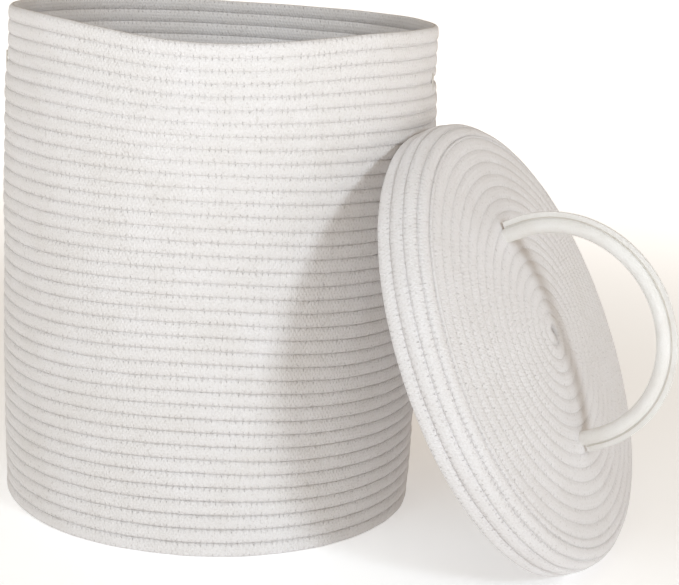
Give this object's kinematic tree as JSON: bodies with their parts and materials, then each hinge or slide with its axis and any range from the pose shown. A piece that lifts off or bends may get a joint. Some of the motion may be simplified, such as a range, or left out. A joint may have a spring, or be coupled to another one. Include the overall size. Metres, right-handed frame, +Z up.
{
  "type": "laundry hamper with lid",
  "caption": "Round laundry hamper of sewn coiled cotton rope with a loose domed rope lid leaning on its side, a looped lid handle and slit hand holes.",
  "frame": {"origin": "centre of the hamper's underside, on the floor", "axes": "+Z up along the hamper's axis; +X towards the leaning lid"},
  "size_m": [0.6551, 0.41, 0.456],
  "materials": {
    "cotton_rope": "matte",
    "sleeve_cotton": "matte",
    "sewing_thread": "matte"
  },
  "bodies": {
    "hamper": {"base_coil": "cotton_rope", "base_thread": "sewing_thread", "grip_band": "cotton_rope", "grip_thread": "sewing_thread", "rim_row": "cotton_rope", "rim_thread": "sewing_thread", "slot_tack_back_left": "sewing_thread", "slot_tack_back_right": "sewing_thread", "slot_tack_front_left": "sewing_thread", "slot_tack_front_right": "sewing_thread", "turn_up_row": "cotton_rope", "wall_band_1": "cotton_rope", "wall_band_2": "cotton_rope", "wall_band_3": "cotton_rope", "wall_thread_1": "sewing_thread", "wall_thread_2": "sewing_thread", "wall_thread_3": "sewing_thread"},
    "knot": {"lid_start_knot": "sewing_thread"},
    "lid": {"handle_end_lower": "sleeve_cotton", "handle_end_stitch_lower": "sewing_thread", "handle_end_stitch_upper": "sewing_thread", "handle_end_upper": "sleeve_cotton", "handle_rope": "cotton_rope", "handle_seam": "sewing_thread", "handle_sleeve": "sleeve_cotton", "lid_coil": "cotton_rope", "lid_coil_thread": "sewing_thread", "lid_corner_row": "cotton_rope", "lid_edge_row": "cotton_rope", "lid_seam_1": "sewing_thread", "lid_seam_2": "sewing_thread", "lid_seam_3": "sewing_thread", "lid_skirt_row": "cotton_rope", "lid_upper_row": "cotton_rope"}
  },
  "joints": [
    {"name": "lid_carry", "type": "hinge", "parent": "hamper", "child": "knot", "pos_m": [0.27938, 0, 0.4764], "axis": [0, -1, 0], "range_deg": [0, 259.79]},
    {"name": "lid_level", "type": "hinge", "parent": "knot", "child": "lid", "pos_m": [0.32892, 0, 0.20145], "axis": [0, -1, 0], "range_deg": [-196.19, 0]}
  ],
  "couplings": [
    {"joint": "lid_level", "follows": "lid_carry", "ratio": -0.75518}
  ]
}
